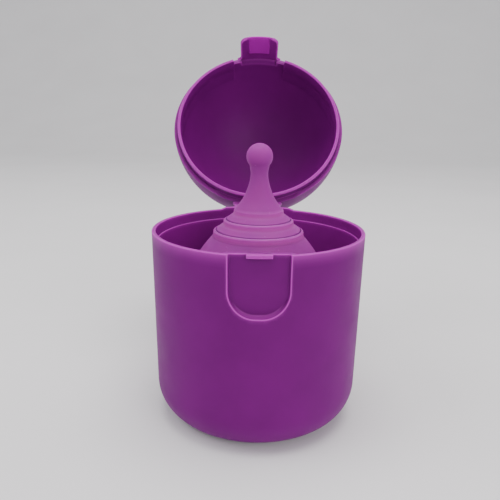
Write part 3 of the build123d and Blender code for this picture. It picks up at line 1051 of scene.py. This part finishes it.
def cup_silicone():
    """Milky silicone: soft pinkish lilac with a dry skin, faint flow marks and a few caught specks; the ring
    sides carry painted light, edges a faint painted highlight, and corners and creases painted shade.
    """
    shader = Shader("visual_cup_silicone")
    cool, warm, pale = (0.265, 0.029, 0.255, 1), (0.295, 0.032, 0.262, 1), (0.44, 0.09, 0.40, 1)
    pink, dark = (0.41, 0.060, 0.355, 1), (0.08, 0.01, 0.11, 1)
    clouds = shader.remap(shader.noise(0.011, 3), 0.35, 0.65, 0, 1)
    specks = shader.remap(shader.noise(0.0011, 1), 0.74, 0.80, 0, 0.35)
    # Painted light on the ring sides, which shows them warmer and lighter
    body = shader.mix(shader.mark("ring_side_light"), shader.mix(clouds, cool, warm), pink)
    # Faint painted highlight on rounded edges
    colour = shader.mix(shader.remap(shader.mark("edge"), 0.1, 1, 0, 0.15), body, pale)
    colour = shader.shade_corners(shader.mix(specks, colour, pale), dark, 0.0006, 0.45)
    # Painted shade in the creases
    shader.join(shader.mix(shader.mark("crease"), colour, dark), shader.surface.inputs["Base Color"])
    shader.join(shader.remap(shader.noise(0.004, 4), 0.3, 0.7, 0.5, 0.62), shader.surface.inputs["Roughness"])
    skin = shader.bump(shader.noise(0.00035, 3), 0.25, 0.00002)
    shader.join(skin, shader.surface.inputs["Normal"])
    shader.surface.inputs["IOR"].default_value = 1.41
    shader.surface.inputs["Specular IOR Level"].default_value = 0.14
    shader.surface.inputs["Subsurface Weight"].default_value = 0.85
    shader.surface.inputs["Subsurface Radius"].default_value = (1.0, 0.3, 0.9)
    shader.surface.inputs["Subsurface Scale"].default_value = 0.006
    return shader.material


def studio_floor():
    """Matt pale paper with a faint tooth."""
    shader = Shader("studio_floor")
    tone = shader.remap(shader.noise(0.08, 3), 0.3, 0.7, 0, 1)
    colour = shader.mix(tone, (0.80, 0.79, 0.80, 1), (0.83, 0.82, 0.83, 1))
    shader.join(colour, shader.surface.inputs["Base Color"])
    shader.join(shader.bump(shader.noise(0.0007, 3), 0.15, 0.00003), shader.surface.inputs["Normal"])
    shader.surface.inputs["Roughness"].default_value = 0.85
    return shader.material


# ---- Pieces on their bodies ----

def place(obj, body, node, finish):
    """Gives a piece its finish and its painted edge highlight, and puts it on a body unless it bends between
    two.
    """
    marks = convexity(obj)
    if node == "latch_tab":
        marks = off_catch(obj, marks)
    if node == "lid":
        marks = lid_marks(obj, marks)
    # Painted highlight over the whole strap
    if node == "hinge_web":
        marks = np.maximum(marks, 0.75)
    if node == "case_base":
        marks = case_marks(obj, marks)
    # Painted highlight over the whole nub
    if node is None:
        marks = np.maximum(marks, 0.8)
    paint(obj, "edge", marks)
    obj.data.materials.append(finish)
    if body:
        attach(obj, body)
    if node:
        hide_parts(node)
    return obj


plastic = case_plastic()
silicone = cup_silicone()
case = place(make_case(), "case", "case_base", plastic)
place(make_nub(), "case", None, plastic)
lid = place(make_lid(), "lid", "lid", plastic)
tab = place(make_tab(), None, "latch_tab", plastic)
strap = place(make_strap(), None, "hinge_web", plastic)
cup = place(make_cup(), "cup", "silicone_cup", silicone)
ring_colours(cup)
thin_plate(tab)
lit_through(case, np.array([0, 0, RIM_HEIGHT / 2]) * MM, 0.25)
lit_through(lid, np.array(opened() @ Vector((0, 0, 5 * MM))), 0.06)

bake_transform(tab)
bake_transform(strap)

# ---- Studio ----

def area_light(name, at, aim, size, power, tint):
    lamp = bpy.data.lights.new(name, "AREA")
    lamp.shape = "DISK"
    lamp.size = size
    lamp.energy = power
    lamp.color = tint
    obj = bpy.data.objects.new(name, lamp)
    obj.location = at
    obj.rotation_mode = "QUATERNION"
    obj.rotation_quaternion = (Vector(aim) - Vector(at)).to_track_quat("-Z", "Y")
    bpy.context.scene.collection.objects.link(obj)


def sweep():
    """Paper sweep: a level floor that curves up behind the object."""
    half, front, back, radius, top = 30.0, -30.0, 0.7, 0.6, 3.0
    bend = np.radians(np.linspace(0, 90, 25))
    rise = [(back + radius * sin(a), radius * (1 - cos(a))) for a in bend]
    line = [(front, 0.0)] + rise + [(back + radius, top)]
    points = [(x, y, z) for y, z in line for x in (-half, half)]
    faces = [(2 * k, 2 * k + 1, 2 * k + 3, 2 * k + 2) for k in range(len(line) - 1)]
    mesh = bpy.data.meshes.new("paper_sweep")
    mesh.from_pydata(points, [], faces)
    mesh.polygons.foreach_set("use_smooth", [True] * len(faces))
    paper = bpy.data.objects.new("paper_sweep", mesh)
    paper.data.materials.append(studio_floor())
    bpy.context.scene.collection.objects.link(paper)


def set_studio():
    sweep()
    world = bpy.data.worlds.new("studio")
    world.use_nodes = True
    sky = next(n for n in world.node_tree.nodes if n.type == "BACKGROUND")
    sky.inputs["Color"].default_value = (0.93, 0.93, 0.95, 1)
    sky.inputs["Strength"].default_value = 0.75
    bpy.context.scene.world = world
    middle = (0, 0.01, 0.06)
    area_light("overhead", (0.05, 0.0, 0.75), middle, 0.6, 4.6, (1, 0.98, 0.97))
    area_light("front_fill", (0.45, -0.80, 0.38), middle, 0.7, 4.4, (1, 0.97, 0.98))
    area_light("side_fill", (-0.55, -0.10, 0.60), middle, 0.5, 1.8, (0.97, 0.97, 1))


def set_camera():
    """Stands in front of the case, a little above it, and leans by under a degree as the photo does."""
    height, lean, distance = radians(15.08), radians(0.89), 0.163235
    back = Vector((0, -cos(height), sin(height)))
    look_at = Vector((-2.285, 0, 48.56)) * MM
    lens = bpy.data.cameras.new("camera")
    lens.sensor_width = 36
    lens.lens = 40.84
    lens.clip_start = 0.005
    camera = bpy.data.objects.new("camera", lens)
    camera.location = look_at + back * distance
    camera.rotation_mode = "QUATERNION"
    level = (-back).to_track_quat("-Z", "Y")
    camera.rotation_quaternion = level @ Matrix.Rotation(lean, 3, "Z").to_quaternion()
    bpy.context.scene.collection.objects.link(camera)
    bpy.context.scene.camera = camera


set_studio()
set_camera()
